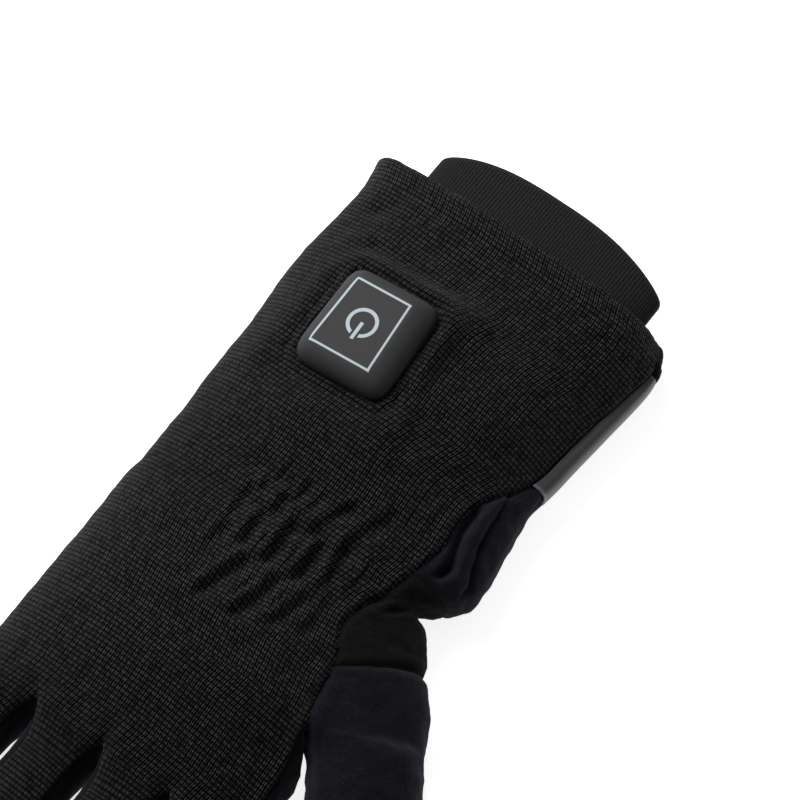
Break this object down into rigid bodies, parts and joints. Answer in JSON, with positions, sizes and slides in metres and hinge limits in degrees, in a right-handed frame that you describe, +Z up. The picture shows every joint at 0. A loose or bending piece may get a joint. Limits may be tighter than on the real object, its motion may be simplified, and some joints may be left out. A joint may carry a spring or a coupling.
{
  "type": "heated glove",
  "caption": "Right-hand winter glove with a gathered knitted back, an elastic inner cuff, a thumb gusset and a rubber power button on the cuff; lies palm down.",
  "frame": {"origin": "middle of the bounding box's bottom, on the surface that the palm lies on", "axes": "+Y from the fingers to the open cuff, +Z up through the back of the hand, +X to the thumb side"},
  "size_m": [0.1506, 0.3248, 0.0377],
  "materials": {
    "back_knit": "black waffle knit with a fine rib along the glove",
    "palm_stretch": "smooth navy-black stretch softshell, matte",
    "gusset_stretch": "dark grey matte stretch cloth",
    "elastic_band": "close woven black elastic",
    "coated_tape": "smooth coated tape, a little lighter, satin",
    "soft_rubber": "soft satin rubber with a pale grey printed outline and power symbol"
  },
  "bodies": {
    "root": {"back_panel": "back_knit", "palm_panel": "palm_stretch", "fourchette_1": "palm_stretch", "fourchette_2": "palm_stretch", "fourchette_3": "palm_stretch", "thumb_gusset": "gusset_stretch", "thumb": "palm_stretch", "inner_cuff_band": "elastic_band", "side_tape": "coated_tape", "power_button": "soft_rubber"}
  },
  "joints": []
}
